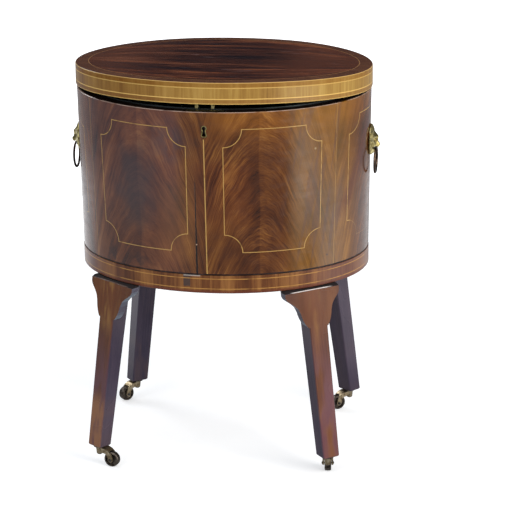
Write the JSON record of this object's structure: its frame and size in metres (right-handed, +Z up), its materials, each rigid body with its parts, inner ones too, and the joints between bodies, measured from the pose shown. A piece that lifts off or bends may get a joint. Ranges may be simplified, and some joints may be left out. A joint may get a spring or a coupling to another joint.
{
  "type": "cellarette",
  "caption": "Oval cellarette: hinged lid with a lock, metal-lined well with bottle divisions, lion-mask ring handles, splayed legs on swivel casters.",
  "frame": {"origin": "on the floor, below the middle of the oval body", "axes": "+X to the right as seen from the keyhole side, +Y to the back, +Z up"},
  "size_m": [0.5629, 0.4368, 0.7246],
  "materials": {
    "mahogany": "french polished, glossy, worn at the edges",
    "flame_mahogany": "flame-figured veneer with light stringing, french polished, glossy",
    "crossbanding": "crossbanded veneer with light stringing, polished",
    "ebonised": "ebonised, polished",
    "deal": "unpolished softwood, aged",
    "zinc_sheet": "dull oxidised sheet metal",
    "brass": "cast brass, polished on the high spots",
    "aged_brass": "dark, handled brass",
    "bronze": "dark patinated bronze",
    "steel": "old iron, dull"
  },
  "bodies": {
    "carcass": {"carcass_wall": "flame_mahogany", "base_bead": "ebonised", "base_band": "crossbanding", "bottom_board": "deal", "liner": "zinc_sheet", "divider_long_front": "mahogany", "divider_long_back": "mahogany", "divider_cross_far_left": "mahogany", "divider_cross_left": "mahogany", "divider_cross_right": "mahogany", "divider_cross_far_right": "mahogany", "lock_case": "steel", "lock_selvedge": "brass", "escutcheon": "brass", "hinge_body_leaf_left": "brass", "hinge_body_leaf_right": "brass", "hinge_pin_left": "aged_brass", "hinge_pin_right": "aged_brass", "handle_mask_left": "brass", "handle_mask_right": "brass", "leg_front_left": "mahogany", "leg_ear_inner_front_left": "mahogany", "leg_ear_outer_front_left": "mahogany", "caster_plate_front_left": "aged_brass", "leg_front_right": "mahogany", "leg_ear_inner_front_right": "mahogany", "leg_ear_outer_front_right": "mahogany", "caster_plate_front_right": "aged_brass", "leg_back_left": "mahogany", "leg_ear_inner_back_left": "mahogany", "leg_ear_outer_back_left": "mahogany", "caster_plate_back_left": "aged_brass", "leg_back_right": "mahogany", "leg_ear_inner_back_right": "mahogany", "leg_ear_outer_back_right": "mahogany", "caster_plate_back_right": "aged_brass"},
    "lid": {"lid_board": "mahogany", "lid_rim": "crossbanding", "lid_link_plate": "brass", "hinge_lid_leaf_left": "brass", "hinge_lid_leaf_right": "brass"},
    "lock_bolt": {"lock_bolt": "steel"},
    "handle_ring_left": {"handle_ring_left": "bronze"},
    "handle_ring_right": {"handle_ring_right": "bronze"},
    "caster_front_left": {"caster_horn_front_left": "brass", "caster_axle_front_left": "steel"},
    "wheel_front_left": {"caster_wheel_front_left": "aged_brass"},
    "caster_front_right": {"caster_horn_front_right": "brass", "caster_axle_front_right": "steel"},
    "wheel_front_right": {"caster_wheel_front_right": "aged_brass"},
    "caster_back_left": {"caster_horn_back_left": "brass", "caster_axle_back_left": "steel"},
    "wheel_back_left": {"caster_wheel_back_left": "aged_brass"},
    "caster_back_right": {"caster_horn_back_right": "brass", "caster_axle_back_right": "steel"},
    "wheel_back_right": {"caster_wheel_back_right": "aged_brass"}
  },
  "joints": [
    {"name": "lid_hinge", "type": "hinge", "parent": "carcass", "child": "lid", "pos_m": [0, 0.2166, 0.6727], "axis": [-1, 0, 0], "range_deg": [0, 93.2]},
    {"name": "lock_slide", "type": "slide", "parent": "carcass", "child": "lock_bolt", "axis": [1, 0, 0], "range_m": [0, 0.007]},
    {"name": "ring_swing_left", "type": "hinge", "parent": "carcass", "child": "handle_ring_left", "pos_m": [-0.27379, 0, 0.55834], "axis": [0, 1, 0], "range_deg": [-7, 95]},
    {"name": "ring_swing_right", "type": "hinge", "parent": "carcass", "child": "handle_ring_right", "pos_m": [0.27388, 0, 0.56414], "axis": [0, -1, 0], "range_deg": [-7, 95]},
    {"name": "caster_swivel_front_left", "type": "hinge", "parent": "carcass", "child": "caster_front_left", "pos_m": [-0.20838, -0.17288, 0.0276], "axis": [0, 0, 1], "continuous": true},
    {"name": "wheel_roll_front_left", "type": "hinge", "parent": "caster_front_left", "child": "wheel_front_left", "pos_m": [-0.18413, -0.17893, 0.01383], "axis": [0.2419, 0.9703, 0], "continuous": true},
    {"name": "caster_swivel_front_right", "type": "hinge", "parent": "carcass", "child": "caster_front_right", "pos_m": [0.20838, -0.17288, 0.0276], "axis": [0, 0, 1], "continuous": true},
    {"name": "wheel_roll_front_right", "type": "hinge", "parent": "caster_front_right", "child": "wheel_front_right", "pos_m": [0.20534, -0.14807, 0.01383], "axis": [-0.9925, -0.1219, 0], "continuous": true},
    {"name": "caster_swivel_back_left", "type": "hinge", "parent": "carcass", "child": "caster_back_left", "pos_m": [-0.20838, 0.17288, 0.0276], "axis": [0, 0, 1], "continuous": true},
    {"name": "wheel_roll_back_left", "type": "hinge", "parent": "caster_back_left", "child": "wheel_back_left", "pos_m": [-0.22696, 0.15615, 0.01383], "axis": [0.6691, -0.7431, 0], "continuous": true},
    {"name": "caster_swivel_back_right", "type": "hinge", "parent": "carcass", "child": "caster_back_right", "pos_m": [0.20838, 0.17288, 0.0276], "axis": [0, 0, 1], "continuous": true},
    {"name": "wheel_roll_back_right", "type": "hinge", "parent": "caster_back_right", "child": "wheel_back_right", "pos_m": [0.18673, 0.16038, 0.01383], "axis": [0.5, -0.866, 0], "continuous": true}
  ]
}
